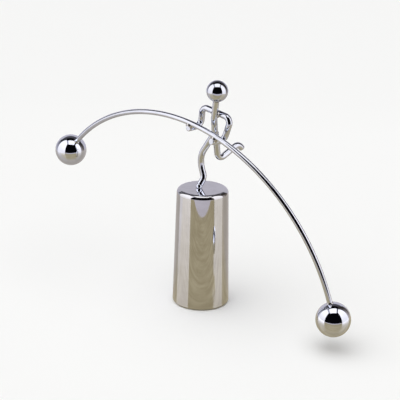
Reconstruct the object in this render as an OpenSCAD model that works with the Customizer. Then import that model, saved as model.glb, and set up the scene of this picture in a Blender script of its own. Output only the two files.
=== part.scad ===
// Counterweight balancing toy: a bent-wire figure on tiptoe with a weighted pole.
// Units are millimetres, +Z is up, and the origin is the centre of the base's resting face.
// The figure faces -Y and the pole runs along X.

/* [Base] */
// Height of the base
base_h = 58; // [50:0.5:70]
// Diameter at the bottom
base_bottom_d = 27.4; // [26.8:0.1:32]
// Diameter at the top, measured to the sharp corner
base_top_d = 24.6; // [24.2:0.1:27]
// Radius of the rounded top edge
top_round = 2.1; // [0.8:0.1:2.4]
// Edge break at the bottom of the shell
foot_break = 0.4; // [0.2:0.1:0.8]
// Bore for the ballast
bore_d = 21; // [18:0.5:21]
// Thickness of the metal above the bore
cap_t = 4; // [3:0.1:6]
// Thickness of the closing plate
plate_t = 1.5; // [1:0.1:2.5]
// Thickness of the non-slip pad
pad_t = 1.5; // [1:0.1:2.5]
// How far the pad stands out below the shell
pad_proud = 0.5; // [0.3:0.1:0.8]

/* [Pivot] */
// Sideways place of the foot on the top
pivot_x = -1.3; // [-3:0.1:3]
// Fore-and-aft place of the foot on the top
pivot_y = -1.1; // [-3:0.1:3]
// Diameter of the ball in the foot
foot_ball_d = 3; // [2.8:0.1:3]
// How deep the ball sits in the seat
ball_sink = 0.5; // [0.3:0.05:0.7]
// Diameter of the seat insert
seat_d = 3.6; // [3.4:0.1:4.4]
// Height of the seat insert
seat_h = 2; // [1.6:0.1:2.4]

/* [Wire] */
// Diameter of the figure's wire
wire_d = 3; // [2.9:0.1:3.1]
// Diameter of the pole's wire
pole_d = 2.5; // [2.3:0.1:2.7]
// Bend radius at the ankle, the hip and the nape
leg_bend_r = 4; // [3:0.1:4.5]
// Bend radius at the knee of the standing leg
knee_bend_r = 11; // [6:0.5:13]
// Bend radius in the trailing leg
trail_bend_r = 3; // [2.4:0.1:3.4]
// Bend radius in the arms
arm_bend_r = 3; // [2.4:0.1:3.4]

/* [Figure] */
// Height of the figure from the centre of the foot ball to the middle of the head
figure_h = 49; // [48:0.1:50]
// Diameter of the head
head_d = 10; // [8:0.1:12]

/* [Pole] */
// Radius that the pole is bowed to
pole_bow_r = 94.9; // [90:0.1:100]
// Angle of the bow from the crown to the middle of each weight
pole_half_angle = 65.1; // [60:0.1:66]
// How far the pole slants down to the right
pole_slant = 14.6; // [10:0.1:18]
// How far the bow leans forward
pole_lean = 6.6; // [4:0.1:9]
// Diameter of each weight
weight_d = 16; // [15:0.1:17]
// How deep the wires go into the balls
wire_set = 5; // [3:0.1:6]

/* [Fits] */
// Clearance round the seat and the foot ball
run_fit = 0.05; // [0.03:0.01:0.1]
// Clearance round the ballast, the plate and the pad
slip_fit = 0.1; // [0.05:0.01:0.2]
// Radius of the braze bead where two wires cross
bead_r = 1.9; // [1.7:0.05:2.1]
// Reach of the braze ring round a wire that goes into a ball
ring_reach = 0.45; // [0.3:0.05:0.8]

/* [Hidden] */
$fn = 96;

wire_r = wire_d / 2;
pole_r = pole_d / 2;
ball_r = foot_ball_d / 2;
head_r = head_d / 2;
weight_r = weight_d / 2;
bore_r = bore_d / 2;
bottom_r = base_bottom_d / 2;
top_r = base_top_d / 2;
// The bore for the plate and the pad leaves the same wall as the ballast bore does at the top
step_r = bottom_r - (top_r - bore_r);
plate_z = pad_t;
bore_z = pad_t + plate_t;
bore_top = base_h - cap_t;
pivot = [pivot_x, pivot_y, base_h + ball_r - ball_sink];
// A bend is drawn this much fatter than a straight run, and a run reaches this far into it
bend_swell = 0.005;
bend_lap = 0.05;
// The foot's wire starts this far from the ball's centre, so that its rim keeps some metal
foot_cut = 0.6 * ball_r;
// Clearance of a bead's straight cut round the bowed pole
bead_fit = 0.02;
// A bead is turned so that its poles lie clear of the wires
bead_turn = [-45, 45, 0];
// The seat's dish is rounder than the ball by this much
dish_more = 0.3;
// Steps in a full turn of the pole's bow
bow_steps = 360;

function unit(v) = v / norm(v);
// Angle of the side wall from upright, and the centre of the rounded edge that touches wall and top
side_angle = atan2(bottom_r - top_r, base_h - pad_proud);
round_at = [top_r + top_round * (tan(side_angle) - 1 / cos(side_angle)), base_h - top_round];

// The pose is drawn on a grid with this many steps from the foot ball's centre up to the head's
grid_steps = 49;
// Corner points of the wires, in steps of the grid from the foot ball's centre
function posed(p) = p * figure_h / grid_steps;
head_at = posed([11.55, -2.3, grid_steps]);
ankle = posed([1.1, 2.2, 4.0]);
knee = posed([-1.9, 1.9, 13.4]);
hip = posed([8.1, 0.85, 27.9]);
nape = posed([8.9, -0.8, 35.2]);
left_hand = posed([-1.95, -6.5, 29.45]);
left_elbow = posed([-1.5, 2.35, 29.3]);
left_shoulder = posed([-0.35, 1.9, 38.65]);
right_shoulder = posed([16.9, 1.6, 36.2]);
right_elbow = posed([13.35, 1.1, 24.8]);
right_hand = posed([12.8, -7.65, 26.4]);
trail_top = posed([6.25, 3.6, 27.2]);
trail_knee = posed([5.75, 6.75, 12.3]);
trail_ankle = posed([7.95, 19.0, 18.35]);
trail_toe = posed([8.5, 21.25, 15.6]);
crown = posed([9.74, -5.72, 29.8]);

// The neck goes this far up into the head
neck_end = head_at - unit(head_at - nape) * (head_r - wire_set);
body_path = [unit(ankle) * foot_cut, ankle, knee, hip, nape, neck_end];
arm_path = [left_hand, left_elbow, left_shoulder, right_shoulder, right_elbow, right_hand];
trail_path = [trail_top, trail_knee, trail_ankle, trail_toe];
// Bend radii at the inner corners of each wire
body_bends = [leg_bend_r, knee_bend_r, leg_bend_r, leg_bend_r];
arm_bends = [arm_bend_r, arm_bend_r, arm_bend_r, arm_bend_r];
trail_bends = [trail_bend_r, trail_bend_r];

// One straight run of wire from a to b
module run(a, b, r) {
    d = b - a;
    translate(a)
        rotate([0, acos(d.z / norm(d)), atan2(d.y, d.x)])
            cylinder(r = r, h = norm(d));
}

// The bend at corner p between the directions u (in) and v (out)
module bend(p, u, v, r, bend_r) {
    ang = acos(u * v);
    start = p - u * bend_r * tan(ang / 2);
    side = unit(v - u * (u * v));
    across = cross(u, side);
    multmatrix([
        [side.x, across.x, u.x, start.x],
        [side.y, across.y, u.y, start.y],
        [side.z, across.z, u.z, start.z]
    ])
        translate([bend_r, 0, 0])
            rotate([90, 0, 0])
                rotate([0, 0, 180 - ang])
                    rotate_extrude(angle = ang)
                        translate([bend_r, 0])
                            circle(r + bend_swell);
}

// Length that a bend takes off the runs on both sides of its corner
function bend_len(a, p, b, bend_r) = bend_r * tan(acos(unit(p - a) * unit(b - p)) / 2);

// A wire through the corner points, with a bend of its own radius at each inner corner
module bent_wire(path, r, bends) {
    last = len(path) - 1;
    for (i = [0 : last - 1]) {
        u = unit(path[i + 1] - path[i]);
        cut_a = i == 0 ? 0 : bend_len(path[i - 1], path[i], path[i + 1], bends[i - 1]) - bend_lap;
        cut_b = i == last - 1 ? 0 : bend_len(path[i], path[i + 1], path[i + 2], bends[i]) - bend_lap;
        run(path[i] + u * cut_a, path[i + 1] - u * cut_b, r);
        if (i < last - 1)
            bend(path[i + 1], u, unit(path[i + 2] - path[i + 1]), r, bends[i]);
    }
}

module body_solid() {
    bent_wire(body_path, wire_r, body_bends);
}

module arm_solid() {
    bent_wire(arm_path, wire_r, arm_bends);
}

module trail_solid() {
    bent_wire(trail_path, wire_r, trail_bends);
}

// The pole's frame: its crown is at the top of the bow and the bow's centre is the origin
module in_pole_frame() {
    translate(crown)
        rotate([pole_lean, pole_slant, 0])
            translate([0, 0, -pole_bow_r])
                children();
}

// Angle on the bow that a length of wire takes
function bow_angle(len) = len / pole_bow_r * 180 / PI;

module pole_solid() {
    half = pole_half_angle - bow_angle(weight_r - wire_set);
    wire_steps = $fn;
    in_pole_frame()
        rotate([90, 0, 0])
            rotate([0, 0, 90 - half])
                rotate_extrude(angle = 2 * half, $fn = bow_steps)
                    translate([pole_bow_r, 0])
                        circle(pole_r, $fn = wire_steps);
}

// A weight's place: its own Z looks back along the wire towards the crown
module at_weight(side) {
    in_pole_frame()
        rotate([0, side * pole_half_angle, 0])
            translate([0, 0, pole_bow_r])
                rotate([0, -side * 90, 0])
                    children();
}

module base_shell() {
    wall_top = round_at + top_round * [cos(side_angle), sin(side_angle)];
    outline = [
        [0, pad_proud], [bottom_r - foot_break, pad_proud], [bottom_r, pad_proud + foot_break],
        wall_top, [round_at.x, base_h], [0, base_h]
    ];
    color("silver")
        difference() {
            rotate_extrude() {
                polygon(outline);
                translate(round_at) circle(top_round);
            }
            translate([0, 0, pad_proud - 1])
                cylinder(r = step_r, h = bore_z - pad_proud + 1);
            translate([0, 0, bore_z - 1])
                cylinder(r = bore_r, h = bore_top - bore_z + 1);
            translate([pivot_x, pivot_y, base_h - seat_h - run_fit])
                cylinder(d = seat_d + 2 * run_fit, h = seat_h + 1);
        }
}

module base_weight() {
    color("dimgray")
        translate([0, 0, bore_z])
            cylinder(r = bore_r - slip_fit, h = bore_top - bore_z - slip_fit);
}

module base_plate() {
    color("gray")
        translate([0, 0, plate_z])
            cylinder(r = step_r - slip_fit, h = plate_t);
}

module base_pad() {
    color("black")
        cylinder(r = step_r - slip_fit, h = pad_t);
}

module pivot_seat() {
    dish_r = ball_r + dish_more;
    color("gray")
        translate([pivot_x, pivot_y, base_h - seat_h])
            difference() {
                cylinder(d = seat_d, h = seat_h);
                translate([0, 0, seat_h - ball_sink - run_fit + dish_r])
                    rotate([90, 0, 0])
                        sphere(dish_r);
            }
}

module foot_ball() {
    color("lightgray")
        translate(pivot)
            sphere(ball_r);
}

module body_wire() {
    color("silver")
        translate(pivot)
            difference() {
                body_solid();
                rotate([0, 90, 0])
                    sphere(ball_r + run_fit);
            }
}

module arm_wire() {
    color("silver")
        translate(pivot)
            difference() {
                arm_solid();
                body_solid();
                pole_solid();
            }
}

module trailing_leg() {
    color("silver")
        translate(pivot)
            difference() {
                trail_solid();
                body_solid();
            }
}

module head() {
    color("silver")
        translate(pivot)
            difference() {
                translate(head_at) sphere(head_r);
                body_solid();
            }
}

module pole() {
    color("silver")
        translate(pivot)
            pole_solid();
}

module weight(side) {
    difference() {
        at_weight(side) sphere(weight_r);
        pole_solid();
    }
}

module left_weight() {
    color("silver")
        translate(pivot)
            weight(-1);
}

module right_weight() {
    color("silver")
        translate(pivot)
            weight(1);
}

// Closest approach of the lines a-b and c-d: the point on a-b
function nearest(a, b, c, d) =
    let (u = unit(b - a), v = unit(d - c), n = cross(u, v), w = cross(v, n))
        a + u * (((c - a) * w) / (u * w));

// The pole's axes in the figure's frame
bow_up = [cos(pole_lean) * sin(pole_slant), -sin(pole_lean), cos(pole_lean) * cos(pole_slant)];
bow_side = [sin(pole_lean) * sin(pole_slant), cos(pole_lean), sin(pole_lean) * cos(pole_slant)];
bow_at = crown - pole_bow_r * bow_up;

// Where a forearm crosses the plane of the bow, and the point of the pole above it
function under_pole(elbow, hand) =
    elbow + (hand - elbow) * (((bow_at - elbow) * bow_side) / ((hand - elbow) * bow_side));
function on_pole(q) = bow_at + unit(q - bow_at) * pole_bow_r;

// A ring that tapers along the wire, for a wire that goes into a ball
module taper_ring(r) {
    translate([0, 0, -ring_reach])
        cylinder(r1 = r + ring_reach, r2 = r + ring_reach / 4, h = 2 * ring_reach);
}

module head_braze() {
    d = nape - head_at;
    color("silver")
        translate(pivot)
            difference() {
                translate(head_at)
                    rotate([0, acos(d.z / norm(d)), atan2(d.y, d.x)])
                        translate([0, 0, sqrt(head_r * head_r - wire_r * wire_r)])
                            taper_ring(wire_r);
                translate(head_at) sphere(head_r);
                body_solid();
            }
}

// A round bead where two wires cross
module bead(at) {
    translate(at) rotate(bead_turn) sphere(bead_r);
}

module shoulder_braze() {
    neck = nearest(nape, head_at, left_shoulder, right_shoulder);
    bar = nearest(left_shoulder, right_shoulder, nape, head_at);
    color("silver")
        translate(pivot)
            difference() {
                bead((neck + bar) / 2);
                body_solid();
                arm_solid();
            }
}

module hip_braze() {
    leg = nearest(trail_top, trail_knee, hip, knee);
    back = nearest(hip, knee, trail_top, trail_knee);
    color("silver")
        translate(pivot)
            difference() {
                bead((leg + back) / 2);
                body_solid();
                trail_solid();
            }
}

// The bead stops level with the cut end of the wire, so the wire is drawn longer here.
// It is short, so a straight cut with a little clearance stands for the bowed pole.
module hand_bead(elbow, hand) {
    q = under_pole(elbow, hand);
    p = on_pole(q);
    along = unit(cross(bow_side, p - bow_at)) * 2 * bead_r;
    difference() {
        bead(q + unit(p - q) * wire_r);
        run(elbow, hand + unit(hand - elbow) * bead_r, wire_r);
        run(p - along, p + along, pole_r + bead_fit);
    }
}

module hand_brazes() {
    color("silver")
        translate(pivot) {
            hand_bead(left_elbow, left_hand);
            hand_bead(right_elbow, right_hand);
        }
}

module weight_ring(side) {
    difference() {
        in_pole_frame()
            rotate([0, side * (pole_half_angle - bow_angle(weight_r)), 0])
                translate([0, 0, pole_bow_r])
                    rotate([0, -side * 90, 0])
                        taper_ring(pole_r);
        at_weight(side) sphere(weight_r);
        pole_solid();
    }
}

module weight_brazes() {
    color("silver")
        translate(pivot) {
            weight_ring(-1);
            weight_ring(1);
        }
}

base_shell();
base_weight();
base_plate();
base_pad();
pivot_seat();
foot_ball();
body_wire();
arm_wire();
trailing_leg();
head();
pole();
left_weight();
right_weight();
head_braze();
shoulder_braze();
hip_braze();
hand_brazes();
weight_brazes();
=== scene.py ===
import math
import bmesh
import bpy
from mathutils import Matrix, Vector


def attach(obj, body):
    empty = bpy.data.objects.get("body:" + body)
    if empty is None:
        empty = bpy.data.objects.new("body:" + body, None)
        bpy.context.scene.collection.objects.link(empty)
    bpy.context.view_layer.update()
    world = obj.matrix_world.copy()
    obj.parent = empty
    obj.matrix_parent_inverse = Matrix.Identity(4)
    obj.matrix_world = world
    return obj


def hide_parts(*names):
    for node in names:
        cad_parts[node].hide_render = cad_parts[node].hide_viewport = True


# Balancing toy: a bent-wire acrobat on a tapered pillar, all bright chrome.
# Sizes are in millimetres and become metres where a piece is placed.

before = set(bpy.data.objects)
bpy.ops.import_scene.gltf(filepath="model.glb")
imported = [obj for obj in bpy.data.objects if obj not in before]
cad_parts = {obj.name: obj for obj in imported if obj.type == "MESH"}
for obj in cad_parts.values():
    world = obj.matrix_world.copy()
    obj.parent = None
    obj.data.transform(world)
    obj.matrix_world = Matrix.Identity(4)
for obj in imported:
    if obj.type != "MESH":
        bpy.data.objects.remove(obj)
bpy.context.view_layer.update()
mm = 0.001
foot = Vector((-1.3, -1.1, 59.0))  # centre of the foot ball, on the base's top
print("frame loaded:", len(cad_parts), "nodes")


def linearFrom(hexColour):
    channels = [int(hexColour[i:i + 2], 16) / 255 for i in (1, 3, 5)]
    return [c / 12.92 if c <= 0.04045 else ((c + 0.055) / 1.055) ** 2.4 for c in channels] + [1.0]


def addNode(tree, kind, settings=None, links=None):
    node = tree.nodes.new(kind)
    for name, value in (settings or {}).items():
        if isinstance(name, int) or name in node.inputs:
            node.inputs[name].default_value = value
        else:
            setattr(node, name, value)
    for socket, source in (links or {}).items():
        tree.links.new(source, node.inputs[socket])
    return node


def startMaterial(name):
    material = bpy.data.materials.new(name)
    material.use_nodes = True
    tree = material.node_tree
    tree.nodes.clear()
    return material, tree


# Materials

chromeLook = {
    "bright": "#DAD9D7",  # clean plate
    "hazed": "#CFCDC9",  # where handling has left a film
    "hazeSize": 9.0,  # patches of film, about a fingertip
    "hazeFrom": 0.4, "hazeTo": 0.75,  # noise levels where the film starts and is full
    "smooth": 0.02,
    "dull": 0.06,
    "rippleSize": 7.0,  # slow waves that polishing leaves under the plate
    "rippleHeight": 0.004,
}
wireLook = dict(chromeLook, bright="#D9DBDF", hazed="#CDCFD1")  # colder plate on drawn wire
ballLook = dict(chromeLook, bright="#E2E4E8", hazed="#D6D8DB")  # brighter on ground balls


def chromePlatedSteel(name, look):
    # polished steel under bright chrome: a clear mirror, with a faint film and slow waves
    material, tree = startMaterial(name)
    where = addNode(tree, "ShaderNodeTexCoord")
    film = addNode(tree, "ShaderNodeTexNoise",
                   {"Scale": 1 / (look["hazeSize"] * mm), "Detail": 3.0, "Roughness": 0.6},
                   {"Vector": where.outputs["Object"]})
    tint = addNode(tree, "ShaderNodeValToRGB", None, {"Fac": film.outputs["Fac"]})
    tint.color_ramp.elements[0].position = look["hazeFrom"]
    tint.color_ramp.elements[0].color = linearFrom(look["bright"])
    tint.color_ramp.elements[1].position = look["hazeTo"]
    tint.color_ramp.elements[1].color = linearFrom(look["hazed"])
    dullness = addNode(tree, "ShaderNodeMapRange",
                       {"From Min": look["hazeFrom"], "From Max": look["hazeTo"],
                        "To Min": look["smooth"], "To Max": look["dull"]},
                       {"Value": film.outputs["Fac"]})
    wave = addNode(tree, "ShaderNodeTexNoise",
                   {"Scale": 1 / (look["rippleSize"] * mm), "Detail": 1.0},
                   {"Vector": where.outputs["Object"]})
    ripple = addNode(tree, "ShaderNodeBump", {"Strength": 1.0, "Distance": look["rippleHeight"] * mm},
                     {"Height": wave.outputs["Fac"]})
    shader = addNode(tree, "ShaderNodeBsdfPrincipled", {"Metallic": 1.0},
                     {"Base Color": tint.outputs["Color"], "Roughness": dullness.outputs["Result"],
                      "Normal": ripple.outputs["Normal"]})
    addNode(tree, "ShaderNodeOutputMaterial", None, {"Surface": shader.outputs["BSDF"]})
    return material


brazeLook = {
    "bright": "#CFCCC6",
    "paintedHollowShade": "#B2AEA6",  # painted shade for the hollows of the lumps, slightly greyer than the drawn wire
    "grain": 0.6,  # puddled metal, in small lumps
    "lumpHeight": 0.02,
    "lumpFrom": 0.3, "lumpTo": 0.7,  # noise levels of the hollows and the tops
    "smooth": 0.08,
    "dull": 0.2,
}


def platedBraze(name, look):
    # brazing metal under the same plate: softer mirror, a little lumpy, with painted shade darkening the
    # hollows of the lumps
    material, tree = startMaterial(name)
    where = addNode(tree, "ShaderNodeTexCoord")
    lumps = addNode(tree, "ShaderNodeTexNoise", {"Scale": 1 / (look["grain"] * mm), "Detail": 2.0},
                    {"Vector": where.outputs["Object"]})
    # painted shade: darker where the lumps are low, the plain bright colour on their tops
    tint = addNode(tree, "ShaderNodeValToRGB", None, {"Fac": lumps.outputs["Fac"]})
    tint.color_ramp.elements[0].color = linearFrom(look["paintedHollowShade"])
    tint.color_ramp.elements[1].color = linearFrom(look["bright"])
    dullness = addNode(tree, "ShaderNodeMapRange",
                       {"From Min": look["lumpFrom"], "From Max": look["lumpTo"],
                        "To Min": look["dull"], "To Max": look["smooth"]},
                       {"Value": lumps.outputs["Fac"]})
    relief = addNode(tree, "ShaderNodeBump", {"Strength": 0.6, "Distance": look["lumpHeight"] * mm},
                     {"Height": lumps.outputs["Fac"]})
    shader = addNode(tree, "ShaderNodeBsdfPrincipled", {"Metallic": 1.0},
                     {"Base Color": tint.outputs["Color"], "Roughness": dullness.outputs["Result"],
                      "Normal": relief.outputs["Normal"]})
    addNode(tree, "ShaderNodeOutputMaterial", None, {"Surface": shader.outputs["BSDF"]})
    return material


wavePitch = 0.314  # distance between the rings of a wave texture of scale 1
turnedLook = {
    "ridge": "#A9AAAC",
    "groove": "#7E7F82",
    "toolPitch": 0.5,  # real feed is about 0.1, drawn coarser so that it shows
    "smooth": 0.22,
    "dull": 0.36,
}


def turnedSteel(name, look):
    # plain steel faced on a lathe: fine rings round the axis
    material, tree = startMaterial(name)
    where = addNode(tree, "ShaderNodeTexCoord")
    rings = addNode(tree, "ShaderNodeTexWave",
                    {"wave_type": "RINGS", "rings_direction": "Z", "wave_profile": "SIN",
                     "Scale": wavePitch / (look["toolPitch"] * mm), "Distortion": 0.3, "Detail": 1.0},
                    {"Vector": where.outputs["Object"]})
    tint = addNode(tree, "ShaderNodeValToRGB", None, {"Fac": rings.outputs["Fac"]})
    tint.color_ramp.elements[0].color = linearFrom(look["groove"])
    tint.color_ramp.elements[1].color = linearFrom(look["ridge"])
    dullness = addNode(tree, "ShaderNodeMapRange", {"To Min": look["dull"], "To Max": look["smooth"]},
                       {"Value": rings.outputs["Fac"]})
    shader = addNode(tree, "ShaderNodeBsdfPrincipled", {"Metallic": 1.0},
                     {"Base Color": tint.outputs["Color"], "Roughness": dullness.outputs["Result"]})
    addNode(tree, "ShaderNodeOutputMaterial", None, {"Surface": shader.outputs["BSDF"]})
    return material


ironLook = {"skin": "#4A4A4B", "pits": "#2E2D2D", "grain": 1.2, "relief": 0.08, "smooth": 0.55, "dull": 0.75}


def castIron(name, look):
    # sand-cast slug: dull dark grey, grainy
    material, tree = startMaterial(name)
    where = addNode(tree, "ShaderNodeTexCoord")
    sand = addNode(tree, "ShaderNodeTexNoise",
                   {"Scale": 1 / (look["grain"] * mm), "Detail": 6.0, "Roughness": 0.65},
                   {"Vector": where.outputs["Object"]})
    tint = addNode(tree, "ShaderNodeValToRGB", None, {"Fac": sand.outputs["Fac"]})
    tint.color_ramp.elements[0].color = linearFrom(look["pits"])
    tint.color_ramp.elements[1].color = linearFrom(look["skin"])
    dullness = addNode(tree, "ShaderNodeMapRange", {"To Min": look["dull"], "To Max": look["smooth"]},
                       {"Value": sand.outputs["Fac"]})
    relief = addNode(tree, "ShaderNodeBump", {"Strength": 0.7, "Distance": look["relief"] * mm},
                     {"Height": sand.outputs["Fac"]})
    shader = addNode(tree, "ShaderNodeBsdfPrincipled", {"Metallic": 0.8},
                     {"Base Color": tint.outputs["Color"], "Roughness": dullness.outputs["Result"],
                      "Normal": relief.outputs["Normal"]})
    addNode(tree, "ShaderNodeOutputMaterial", None, {"Surface": shader.outputs["BSDF"]})
    return material


rubberLook = {"high": "#2B2A29", "low": "#171716", "grain": 0.7, "relief": 0.04, "smooth": 0.8, "dull": 0.95}


def cellRubber(name, look):
    # die-cut sheet rubber: matt black, with a fine pebbled skin
    material, tree = startMaterial(name)
    where = addNode(tree, "ShaderNodeTexCoord")
    pebble = addNode(tree, "ShaderNodeTexVoronoi", {"Scale": 1 / (look["grain"] * mm)},
                     {"Vector": where.outputs["Object"]})
    tint = addNode(tree, "ShaderNodeValToRGB", None, {"Fac": pebble.outputs["Distance"]})
    tint.color_ramp.elements[0].color = linearFrom(look["high"])
    tint.color_ramp.elements[1].color = linearFrom(look["low"])
    dullness = addNode(tree, "ShaderNodeMapRange", {"To Min": look["smooth"], "To Max": look["dull"]},
                       {"Value": pebble.outputs["Distance"]})
    relief = addNode(tree, "ShaderNodeBump",
                     {"Strength": 0.5, "Distance": look["relief"] * mm, "invert": True},
                     {"Height": pebble.outputs["Distance"]})
    shader = addNode(tree, "ShaderNodeBsdfPrincipled", {"Metallic": 0.0, "IOR": 1.52},
                     {"Base Color": tint.outputs["Color"], "Roughness": dullness.outputs["Result"],
                      "Normal": relief.outputs["Normal"]})
    addNode(tree, "ShaderNodeOutputMaterial", None, {"Surface": shader.outputs["BSDF"]})
    return material


chrome = chromePlatedSteel("chromePlatedSteel", chromeLook)
wireChrome = chromePlatedSteel("chromePlatedWire", wireLook)
ballChrome = chromePlatedSteel("chromePlatedBall", ballLook)
braze = platedBraze("platedBraze", brazeLook)
steel = turnedSteel("turnedSteel", turnedLook)
iron = castIron("castIron", ironLook)
rubber = cellRubber("cellRubber", rubberLook)
print("materials made")


# Shapes

mergeGap = 0.0005  # points closer than this become one
sharpAngle = 38  # degrees, a harder corner stays sharp
bendStep = 4  # degrees between the rings of a bend
fewestSteps = 6
capInset = 1.6  # times the edge break, keeps a cut face flat
ringGap = 0.01  # how far a point may lie from the ring that it belongs to


def finishPiece(bm, name, material, body, node):
    bmesh.ops.remove_doubles(bm, verts=bm.verts[:], dist=mergeGap)
    bmesh.ops.recalc_face_normals(bm, faces=bm.faces[:])
    bmesh.ops.scale(bm, vec=(mm, mm, mm), verts=bm.verts[:])
    mesh = bpy.data.meshes.new(name)
    bm.to_mesh(mesh)
    bm.free()
    mesh.shade_smooth()
    mesh.set_sharp_from_angle(angle=math.radians(sharpAngle))
    mesh.materials.append(material)
    piece = bpy.data.objects.new(name, mesh)
    bpy.context.scene.collection.objects.link(piece)
    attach(piece, body)
    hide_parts(node)
    return piece


def ringOf(geometry):
    verts = [g for g in geometry if isinstance(g, bmesh.types.BMVert)]
    known = set(verts)
    edges = [g for g in geometry if isinstance(g, bmesh.types.BMEdge) and set(g.verts) <= known]
    return verts, edges


def growRing(bm, edges, move, about=None, size=1.0):
    out = bmesh.ops.extrude_edge_only(bm, edges=edges)
    verts, edges = ringOf(out["geom"])
    if about is not None:
        bmesh.ops.scale(bm, vec=(size, size, size), space=Matrix.Translation(-about), verts=verts)
    bmesh.ops.translate(bm, vec=move, verts=verts)
    return verts, edges


def closeEnd(bm, edges, breakSize):
    cap = bmesh.ops.contextual_create(bm, geom=edges)["faces"]
    rim = list({e for f in cap for e in f.edges})
    bmesh.ops.inset_region(bm, faces=cap, thickness=capInset * breakSize)
    bmesh.ops.bevel(bm, geom=rim, offset=breakSize, offset_type="OFFSET", segments=4, profile=0.5,
                    affect="EDGES", material=-1)


def startRing(bm, at, towards, radius, sides):
    turn = (towards - at).to_track_quat("Z", "Y").to_matrix().to_4x4()
    ring = bmesh.ops.create_circle(bm, segments=sides, radius=radius, matrix=Matrix.Translation(at) @ turn)
    return list({e for v in ring["verts"] for e in v.link_edges})


def bendWire(bm, edges, corners, bends):
    # straight runs are extruded and bends are spun, as on a bending jig
    at = corners[0]
    for i in range(1, len(corners)):
        along = (corners[i] - corners[i - 1]).normalized()
        stop = corners[i]
        if i < len(corners) - 1:
            leave = (corners[i + 1] - corners[i]).normalized()
            turn = along.angle(leave)
            bendRadius = bends[i - 1]
            stop = corners[i] - along * bendRadius * math.tan(turn / 2)
        verts, edges = growRing(bm, edges, stop - at)
        at = stop
        if i < len(corners) - 1:
            side = (leave - along * along.dot(leave)).normalized()
            steps = max(fewestSteps, round(math.degrees(turn) / bendStep))
            out = bmesh.ops.spin(bm, geom=verts + edges, cent=at + side * bendRadius, axis=along.cross(side),
                                 angle=turn, steps=steps)
            verts, edges = ringOf(out["geom_last"])
            at = corners[i] + leave * bendRadius * math.tan(turn / 2)
    return edges


def atFoot(points):
    return [foot + Vector(p) for p in points]


# Base

baseShape = {
    "height": 58.0, "bottomRadius": 13.7, "topRadius": 12.3, "edgeRound": 2.1, "footBreak": 0.4,
    "bore": 10.5, "step": 11.9, "boreTop": 54.0, "plateTop": 3.0, "skirt": 0.5,
    "seatHole": 1.85, "seatDepth": 2.05, "around": 160, "edgeSteps": 20,
    "topRings": (0.15, 4.0),  # inwards from the rounded edge, the close one keeps the flat top flat
}


def makeBase(shape):
    bm = bmesh.new()
    lean = math.atan2(shape["bottomRadius"] - shape["topRadius"], shape["height"] - shape["skirt"])
    roundAt = Vector((shape["topRadius"] + shape["edgeRound"] * (math.tan(lean) - 1 / math.cos(lean)), 0,
                      shape["height"] - shape["edgeRound"]))
    wallTop = roundAt + shape["edgeRound"] * Vector((math.cos(lean), 0, math.sin(lean)))
    outline = [
        (0, shape["boreTop"]), (shape["bore"], shape["boreTop"]), (shape["bore"], shape["plateTop"]),
        (shape["step"], shape["plateTop"]), (shape["step"], shape["skirt"]),
        (shape["bottomRadius"] - shape["footBreak"], shape["skirt"]),
        (shape["bottomRadius"], shape["skirt"] + shape["footBreak"]),
    ]
    chain = [bm.verts.new((r, 0, z)) for r, z in outline] + [bm.verts.new(wallTop)]
    for a, b in zip(chain, chain[1:]):
        bm.edges.new((a, b))
    arc = bmesh.ops.spin(bm, geom=[chain[-1]], cent=roundAt, axis=(0, -1, 0), angle=math.pi / 2 - lean,
                         steps=shape["edgeSteps"])
    last = [g for g in arc["geom_last"] if isinstance(g, bmesh.types.BMVert)][0]
    for inwards in shape["topRings"]:
        step = bm.verts.new(last.co - Vector((inwards, 0, 0)))
        bm.edges.new((last, step))
        last = step
    topRing = last.co.x
    bmesh.ops.spin(bm, geom=bm.verts[:] + bm.edges[:], cent=(0, 0, 0), axis=(0, 0, 1), angle=2 * math.pi,
                   steps=shape["around"], use_merge=True)
    bmesh.ops.remove_doubles(bm, verts=bm.verts[:], dist=mergeGap)
    onRing = {v for v in bm.verts if abs(v.co.xy.length - topRing) < ringGap}
    rim = [e for e in bm.edges if e.is_boundary and set(e.verts) <= onRing]
    hole = bmesh.ops.create_circle(bm, segments=shape["around"], radius=shape["seatHole"],
                                   matrix=Matrix.Translation((foot.x, foot.y, shape["height"])))
    mouth = list({e for v in hole["verts"] for e in v.link_edges})
    bmesh.ops.bridge_loops(bm, edges=rim + mouth)
    _, floorRing = growRing(bm, mouth, (0, 0, -shape["seatDepth"]))
    bmesh.ops.contextual_create(bm, geom=floorRing)
    return finishPiece(bm, "base_shell_polished", chrome, "base", "base_shell")


makeBase(baseShape)

seatShape = {
    "radius": 1.8, "low": 56.0, "top": 58.0, "dishRadius": 1.8, "dishLow": 57.45,
    "dishSteps": 14, "around": 64,
}


def makeSeat(shape):
    bm = bmesh.new()
    dishAt = Vector((0, 0, shape["dishLow"] + shape["dishRadius"]))
    reach = math.acos((dishAt.z - shape["top"]) / shape["dishRadius"])
    start = bm.verts.new((0, 0, shape["dishLow"]))
    arc = bmesh.ops.spin(bm, geom=[start], cent=dishAt, axis=(0, -1, 0), angle=reach,
                         steps=shape["dishSteps"])
    last = [g for g in arc["geom_last"] if isinstance(g, bmesh.types.BMVert)][0]
    for r, z in ((shape["radius"], shape["top"]), (shape["radius"], shape["low"]), (0, shape["low"])):
        step = bm.verts.new((r, 0, z))
        bm.edges.new((last, step))
        last = step
    bmesh.ops.spin(bm, geom=bm.verts[:] + bm.edges[:], cent=(0, 0, 0), axis=(0, 0, 1), angle=2 * math.pi,
                   steps=shape["around"], use_merge=True)
    bmesh.ops.translate(bm, vec=(foot.x, foot.y, 0), verts=bm.verts[:])
    return finishPiece(bm, "pivot_seat_dished", chrome, "seat", "pivot_seat")


makeSeat(seatShape)
print("base and seat made")


# Figure

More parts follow.
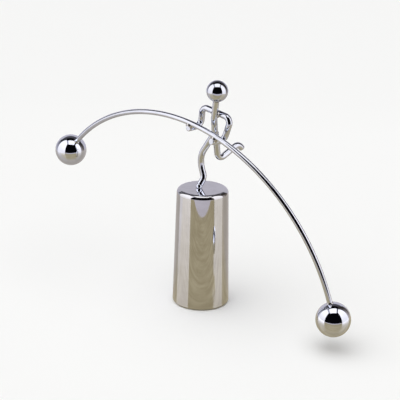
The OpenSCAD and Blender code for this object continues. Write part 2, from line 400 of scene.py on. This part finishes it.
figureShape = {
    "wire": 1.5, "legBend": 4.0, "kneeBend": 11.0, "armBend": 3.0, "trailBend": 3.0,
    "endBreak": 0.3, "sides": 40, "footCut": 0.9, "socket": 1.55,
    "socketRings": (1.0, 0.85, 0.7, 0.55, 0.4, 0.25, 0.1),  # from the rim to the middle of the hollow
    "ankle": (1.1, 2.2, 4.0), "knee": (-1.9, 1.9, 13.4), "hip": (8.1, 0.85, 27.9), "nape": (8.9, -0.8, 35.2),
    "head": (11.55, -2.3, 49.0), "headRadius": 5.0, "wireSet": 5.0,
    "arms": [(-1.95, -6.5, 29.45), (-1.5, 2.35, 29.3), (-0.35, 1.9, 38.65),
             (16.9, 1.6, 36.2), (13.35, 1.1, 24.8), (12.8, -7.65, 26.4)],
    "trail": [(6.25, 3.6, 27.2), (5.75, 6.75, 12.3), (7.95, 19.0, 18.35), (8.5, 21.25, 15.6)],
}


def makeBody(shape):
    bm = bmesh.new()
    corners = atFoot([shape[k] for k in ("ankle", "knee", "hip", "nape", "head")])
    along = (corners[0] - foot).normalized()
    corners.insert(0, foot + along * shape["footCut"])
    ring = startRing(bm, corners[0], corners[1], shape["wire"], shape["sides"])
    mouth = math.acos(shape["footCut"] / shape["socket"])
    radius, height = shape["wire"], shape["footCut"]
    edges = ring
    for part in shape["socketRings"]:  # hollow that the foot ball sits in
        wanted = shape["socket"] * math.sin(mouth * part)
        deep = shape["socket"] * math.cos(mouth * part)
        _, edges = growRing(bm, edges, along * (deep - height), foot + along * height, wanted / radius)
        radius, height = wanted, deep
    bmesh.ops.contextual_create(bm, geom=edges)
    neck = bendWire(bm, ring, corners, [shape[k] for k in ("legBend", "kneeBend", "legBend", "legBend")])
    bmesh.ops.contextual_create(bm, geom=neck)
    return finishPiece(bm, "body_wire_bent", wireChrome, "figure", "body_wire")


def makeLimb(name, node, points, shape, bend):
    bm = bmesh.new()
    corners = atFoot(points)
    ring = startRing(bm, corners[0], corners[1], shape["wire"], shape["sides"])
    tail = bendWire(bm, ring, corners, [bend] * (len(corners) - 2))
    for end in (ring, tail):
        closeEnd(bm, end, shape["endBreak"])
    return finishPiece(bm, name, wireChrome, "figure", node)


ballMesh = {"around": 128, "arcSteps": 72}


def makeBall(name, node, finish, centre, towards, radius, hole, depth):
    # turned about the wire that goes into it: a round arc, then the drilled hole
    bm = bmesh.new()
    lip = math.asin(hole / radius)
    start = bm.verts.new((hole, 0, radius * math.cos(lip)))
    bmesh.ops.spin(bm, geom=[start], cent=(0, 0, 0), axis=(0, 1, 0), angle=math.pi - lip,
                   steps=ballMesh["arcSteps"])
    wall = bm.verts.new((hole, 0, radius - depth))
    floor = bm.verts.new((0, 0, radius - depth))
    bm.verts.ensure_lookup_table()
    bm.edges.new((bm.verts[0], wall))
    bm.edges.new((wall, floor))
    bmesh.ops.spin(bm, geom=bm.verts[:] + bm.edges[:], cent=(0, 0, 0), axis=(0, 0, 1), angle=2 * math.pi,
                   steps=ballMesh["around"], use_merge=True)
    turn = (towards - centre).to_track_quat("Z", "Y").to_matrix().to_4x4()
    bmesh.ops.transform(bm, matrix=Matrix.Translation(centre) @ turn, verts=bm.verts[:])
    return finishPiece(bm, name, finish, "figure", node)


makeBody(figureShape)
makeLimb("arm_wire_bent", "arm_wire", figureShape["arms"], figureShape, figureShape["armBend"])
makeLimb("trailing_leg_bent", "trailing_leg", figureShape["trail"], figureShape, figureShape["trailBend"])
headAt, napeAt = atFoot([figureShape["head"], figureShape["nape"]])
makeBall("head_ball", "head", wireChrome, headAt, napeAt,
         figureShape["headRadius"], figureShape["wire"], figureShape["wireSet"])
print("figure made")


# Pole and weights

poleShape = {
    "crown": (9.74, -5.72, 29.8), "bow": 94.9, "halfAngle": 65.1, "slant": 14.6, "lean": 6.6,
    "wire": 1.25, "weightRadius": 8.0, "wireSet": 5.0, "sides": 40, "steps": 180,
}


def makePole(shape):
    slant = Matrix.Rotation(math.radians(shape["slant"]), 4, "Y")
    lean = Matrix.Rotation(math.radians(shape["lean"]), 4, "X")
    crown = Matrix.Translation(foot + Vector(shape["crown"]))
    place = crown @ (slant @ lean) @ Matrix.Translation((0, 0, -shape["bow"]))
    half = math.radians(shape["halfAngle"])
    inset = (shape["weightRadius"] - shape["wireSet"]) / shape["bow"]
    bm = bmesh.new()
    first = Vector((-math.sin(half - inset), 0, math.cos(half - inset))) * shape["bow"]
    ahead = Vector((first.z, 0, -first.x))
    ring = startRing(bm, first, first + ahead, shape["wire"], shape["sides"])
    verts = list({v for e in ring for v in e.verts})
    out = bmesh.ops.spin(bm, geom=verts + ring, cent=(0, 0, 0), axis=(0, 1, 0), angle=2 * (half - inset),
                         steps=shape["steps"])
    for end in (ring, ringOf(out["geom_last"])[1]):
        bmesh.ops.contextual_create(bm, geom=end)
    bmesh.ops.transform(bm, matrix=place, verts=bm.verts[:])
    finishPiece(bm, "pole_bowed", wireChrome, "figure", "pole")
    for side, node in ((-1, "left_weight"), (1, "right_weight")):
        centre = Vector((side * math.sin(half), 0, math.cos(half))) * shape["bow"]
        back = Vector((-side * math.cos(half), 0, math.sin(half)))
        makeBall(node + "_ball", node, ballChrome, place @ centre, place @ (centre + back),
                 shape["weightRadius"], shape["wire"], shape["wireSet"])


makePole(poleShape)
print("pole and weights made")

# Pieces carried over from the CAD model, with their finish
carriedOver = {
    "head_braze": braze, "shoulder_braze": braze, "hip_braze": braze, "hand_brazes": braze,
    "weight_brazes": braze, "foot_ball": wireChrome, "base_plate": steel, "base_weight": iron,
    "base_pad": rubber,
}
for node, finish in carriedOver.items():
    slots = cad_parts[node].data.materials
    slots.clear()
    slots.append(finish)
print("carried-over pieces finished")


# Camera

shot = {"place": (352.45, -426.53, 253.77), "yaw": 39.69, "elevation": 20.05, "roll": 1.108,
        "focalPx": 1234.85, "imagePx": 400, "sensor": 36, "nearest": 10}


def makeCamera(shot):
    yaw, rise, roll = (math.radians(shot[k]) for k in ("yaw", "elevation", "roll"))
    right = Vector((math.cos(yaw), math.sin(yaw), 0))
    away = Vector((-math.sin(yaw), math.cos(yaw), 0))
    ahead = away * math.cos(rise) - Vector((0, 0, math.sin(rise)))
    up = away * math.sin(rise) + Vector((0, 0, math.cos(rise)))
    across = right * math.cos(roll) + up * math.sin(roll)
    upright = up * math.cos(roll) - right * math.sin(roll)
    camera = bpy.data.objects.new("camera", bpy.data.cameras.new("camera"))
    bpy.context.scene.collection.objects.link(camera)
    camera.data.sensor_width = shot["sensor"]
    camera.data.lens = shot["focalPx"] * shot["sensor"] / shot["imagePx"]
    camera.data.clip_start = shot["nearest"] * mm
    camera.matrix_world = Matrix.Translation(Vector(shot["place"]) * mm) @ Matrix(
        (across, upright, -ahead)).transposed().to_4x4()
    bpy.context.scene.camera = camera
    return right, away


sideways, away = makeCamera(shot)


# Studio: a box of white cloths, open at the front, on a pale floor.
# Places and facings are given to the right, towards the camera and up.

studio = {
    "clothLeft": {"at": (-300, 52, 290), "size": (375, 580), "faces": (1, 0, 0),
                  "colour": "#F7F6FF", "glow": 1.5, "low": 1.15, "onTable": 2.55},
    "clothRight": {"at": (300, 100, 290), "size": (270, 580), "faces": (-1, 0, 0),
                   "colour": "#F7F6FF", "glow": 1.5, "low": 1.15, "onTable": 2.3},
    "cornerLeft": {"at": (-300, -218, 290), "size": (165, 580), "faces": (1, 0, 0),
                   "colour": "#C4C5D6", "glow": 0.1, "low": 1.0},
    "cornerRight": {"at": (300, -78, 290), "size": (85, 580), "faces": (-1, 0, 0),
                    "colour": "#CFC6C8", "glow": 0.15, "low": 0.8},
    "cornerShade": {"at": (300, -210, 290), "size": (180, 580), "faces": (-1, 0, 0),
                    "colour": "#A9A09C", "glow": 0.1, "low": 0.5},
    "clothTop": {"at": (10, 125, 600), "size": (430, 370), "faces": (0, 0, -1),
                 "colour": "#F8F8FF", "glow": 1.5},
    "roofLeft": {"at": (-252, 100, 598), "size": (95, 320), "faces": (0, 0, -1),
                 "colour": "#C9C9DE", "glow": 0.9},
    "roofRight": {"at": (262, 100, 598), "size": (75, 320), "faces": (0, 0, -1),
                  "colour": "#8F8C9C", "glow": 0.5},
    "backLow": {"at": (0, -300, 130), "size": (600, 260), "faces": (0, 1, 0),
                "colour": "#CBC9D8", "glow": 1.0},
    "backHigh": {"at": (0, -300, 420), "size": (600, 320), "faces": (0, 1, 0),
                 "colour": "#6E6C76", "glow": 0.55},
    "frontFlap": {"at": (0, 267, 0.2), "size": (600, 180), "faces": (0, 0, 1),
                  "colour": "#CFCBD9", "glow": 1.0},
}
fadeHeight = 220  # a cloth with a low value changes from it to its glow up to this height
tableTint = "#E6E9FF"  # colour of the cloths where the table reflects them
firstBounce = 1.5  # a ray of more bounces than this came by way of the table


def onStage(name, material, at, size, faces):
    bm = bmesh.new()
    bmesh.ops.create_grid(bm, x_segments=1, y_segments=1, size=0.5)
    bmesh.ops.scale(bm, vec=(size[0] * mm, size[1] * mm, 1), verts=bm.verts[:])
    normal = sideways * faces[0] - away * faces[1] + Vector((0, 0, faces[2]))
    width = sideways if faces[0] == 0 else away
    height = normal.cross(width)
    turn = Matrix((width, height, normal)).transposed().to_4x4()
    place = (sideways * at[0] - away * at[1] + Vector((0, 0, at[2]))) * mm
    bmesh.ops.transform(bm, matrix=Matrix.Translation(place) @ turn, verts=bm.verts[:])
    mesh = bpy.data.meshes.new(name)
    bm.to_mesh(mesh)
    bm.free()
    mesh.materials.append(material)
    sheet = bpy.data.objects.new(name, mesh)
    bpy.context.scene.collection.objects.link(sheet)
    return sheet


def clothGlow(name, cloth):
    material, tree = startMaterial(name)
    where = addNode(tree, "ShaderNodeTexCoord")
    height = addNode(tree, "ShaderNodeSeparateXYZ", None, {"Vector": where.outputs["Object"]})
    low = cloth.get("low", cloth["glow"])
    fade = addNode(tree, "ShaderNodeMapRange",
                   {"From Max": fadeHeight * mm, "To Min": low, "To Max": cloth["glow"]},
                   {"Value": height.outputs["Z"]})
    glow = addNode(tree, "ShaderNodeEmission", {"Color": linearFrom(cloth["colour"])},
                   {"Strength": fade.outputs["Result"]})
    seen = glow.outputs["Emission"]
    if "onTable" in cloth:  # brighter in the table, which the base's sides show
        path = addNode(tree, "ShaderNodeLightPath")
        later = addNode(tree, "ShaderNodeMath", {"operation": "GREATER_THAN", 1: firstBounce},
                        {0: path.outputs["Ray Depth"]})
        sheen = addNode(tree, "ShaderNodeEmission",
                        {"Color": linearFrom(tableTint), "Strength": cloth["onTable"]})
        both = addNode(tree, "ShaderNodeMixShader", None,
                       {0: later.outputs["Value"], 1: seen, 2: sheen.outputs["Emission"]})
        seen = both.outputs["Shader"]
    addNode(tree, "ShaderNodeOutputMaterial", None, {"Surface": seen})
    return material


for name, cloth in studio.items():
    sheet = onStage(name, clothGlow(name, cloth), cloth["at"], cloth["size"], cloth["faces"])
    sheet.visible_camera = False
    sheet.visible_shadow = False
    sheet.visible_diffuse = False  # seen in the chrome only

floorLook = {
    "paper": "#F3F3F2", "paperSize": 8000, "paperDull": 0.9,
    "table": "#736D5C", "tableShade": "#686150",  # a sheet that only the chrome sees
    "tableSize": 700, "tableLift": 0.05,
    "tableBehind": "#6C6864",  # greyer behind the toy
    "behindFade": 35,
    "tableGlow": 2.0,  # light spread over the table, also close to the base
    "tableGloss": 0.12,
    "grain": 7.0,  # streaks that run from left to right
    "grainRun": 7.0,  # how many times longer than wide
    "grainFrom": 0.35, "grainTo": 0.65,  # noise levels of the darkest and the lightest streaks
}


def makeFloor(look):
    material, tree = startMaterial("palePaper")
    shader = addNode(tree, "ShaderNodeBsdfPrincipled",
                     {"Base Color": linearFrom(look["paper"]), "Roughness": look["paperDull"],
                      "Specular IOR Level": 0.1})
    addNode(tree, "ShaderNodeOutputMaterial", None, {"Surface": shader.outputs["BSDF"]})
    paper = onStage("paleFloor", material, (0, 0, 0), (look["paperSize"], look["paperSize"]), (0, 0, 1))
    paper.visible_glossy = False  # the chrome sees the table sheet instead
    material, tree = startMaterial("tableSheet")
    where = addNode(tree, "ShaderNodeTexCoord")
    run = addNode(tree, "ShaderNodeMapping",
                  {"vector_type": "TEXTURE", "Rotation": (0, 0, math.radians(shot["yaw"])),
                   "Scale": (look["grainRun"], 1, 1)},
                  {"Vector": where.outputs["Object"]})
    grain = addNode(tree, "ShaderNodeTexNoise", {"Scale": 1 / (look["grain"] * mm), "Detail": 3.0},
                    {"Vector": run.outputs["Vector"]})
    tint = addNode(tree, "ShaderNodeValToRGB", None, {"Fac": grain.outputs["Fac"]})
    tint.color_ramp.elements[0].position = look["grainFrom"]
    tint.color_ramp.elements[0].color = linearFrom(look["tableShade"])
    tint.color_ramp.elements[1].position = look["grainTo"]
    tint.color_ramp.elements[1].color = linearFrom(look["table"])
    behind = addNode(tree, "ShaderNodeVectorMath", {"operation": "DOT_PRODUCT", 1: away},
                     {0: where.outputs["Object"]})
    fade = addNode(tree, "ShaderNodeMapRange", {"From Max": look["behindFade"] * mm},
                   {"Value": behind.outputs["Value"]})
    colour = addNode(tree, "ShaderNodeMixRGB", {"Color2": linearFrom(look["tableBehind"])},
                     {"Fac": fade.outputs["Result"], "Color1": tint.outputs["Color"]})
    shader = addNode(tree, "ShaderNodeBsdfPrincipled",
                     {"Roughness": look["tableGloss"], "Emission Strength": look["tableGlow"]},
                     {"Base Color": colour.outputs["Color"], "Emission Color": colour.outputs["Color"]})
    addNode(tree, "ShaderNodeOutputMaterial", None, {"Surface": shader.outputs["BSDF"]})
    sheet = onStage("tableSheet", material, (0, 0, look["tableLift"]), (look["tableSize"], look["tableSize"]),
                    (0, 0, 1))
    sheet.visible_camera = False
    sheet.visible_diffuse = False
    sheet.visible_shadow = False


makeFloor(floorLook)

skylight = {"strength": 3.4, "spread": 100, "tilt": (12, -8)}


def makeSkylight(light):
    # even light on the floor, kept out of the mirror surfaces
    lamp = bpy.data.lights.new("skylight", "SUN")
    lamp.energy = light["strength"]
    lamp.angle = math.radians(light["spread"])
    sun = bpy.data.objects.new("skylight", lamp)
    sun.rotation_euler = [math.radians(t) for t in light["tilt"]] + [0]
    bpy.context.scene.collection.objects.link(sun)
    sun.visible_glossy = False


makeSkylight(skylight)

roomLook = {"seen": "#F4F4F3", "dark": "#8A8CA0", "darkGlow": 0.01}


def makeRoom(look):
    # pale behind the floor, dim in the chrome, like a dark room in front of the cloths
    room = bpy.data.worlds.new("paleRoom")
    room.use_nodes = True
    tree = room.node_tree
    tree.nodes.clear()
    path = addNode(tree, "ShaderNodeLightPath")
    dark = addNode(tree, "ShaderNodeBackground",
                   {"Color": linearFrom(look["dark"]), "Strength": look["darkGlow"]})
    pale = addNode(tree, "ShaderNodeBackground", {"Color": linearFrom(look["seen"])})
    both = addNode(tree, "ShaderNodeMixShader", None,
                   {0: path.outputs["Is Camera Ray"], 1: dark.outputs["Background"],
                    2: pale.outputs["Background"]})
    addNode(tree, "ShaderNodeOutputWorld", None, {"Surface": both.outputs["Shader"]})
    bpy.context.scene.world = room


makeRoom(roomLook)
bpy.context.scene.view_settings.view_transform = "Standard"
print("studio made")
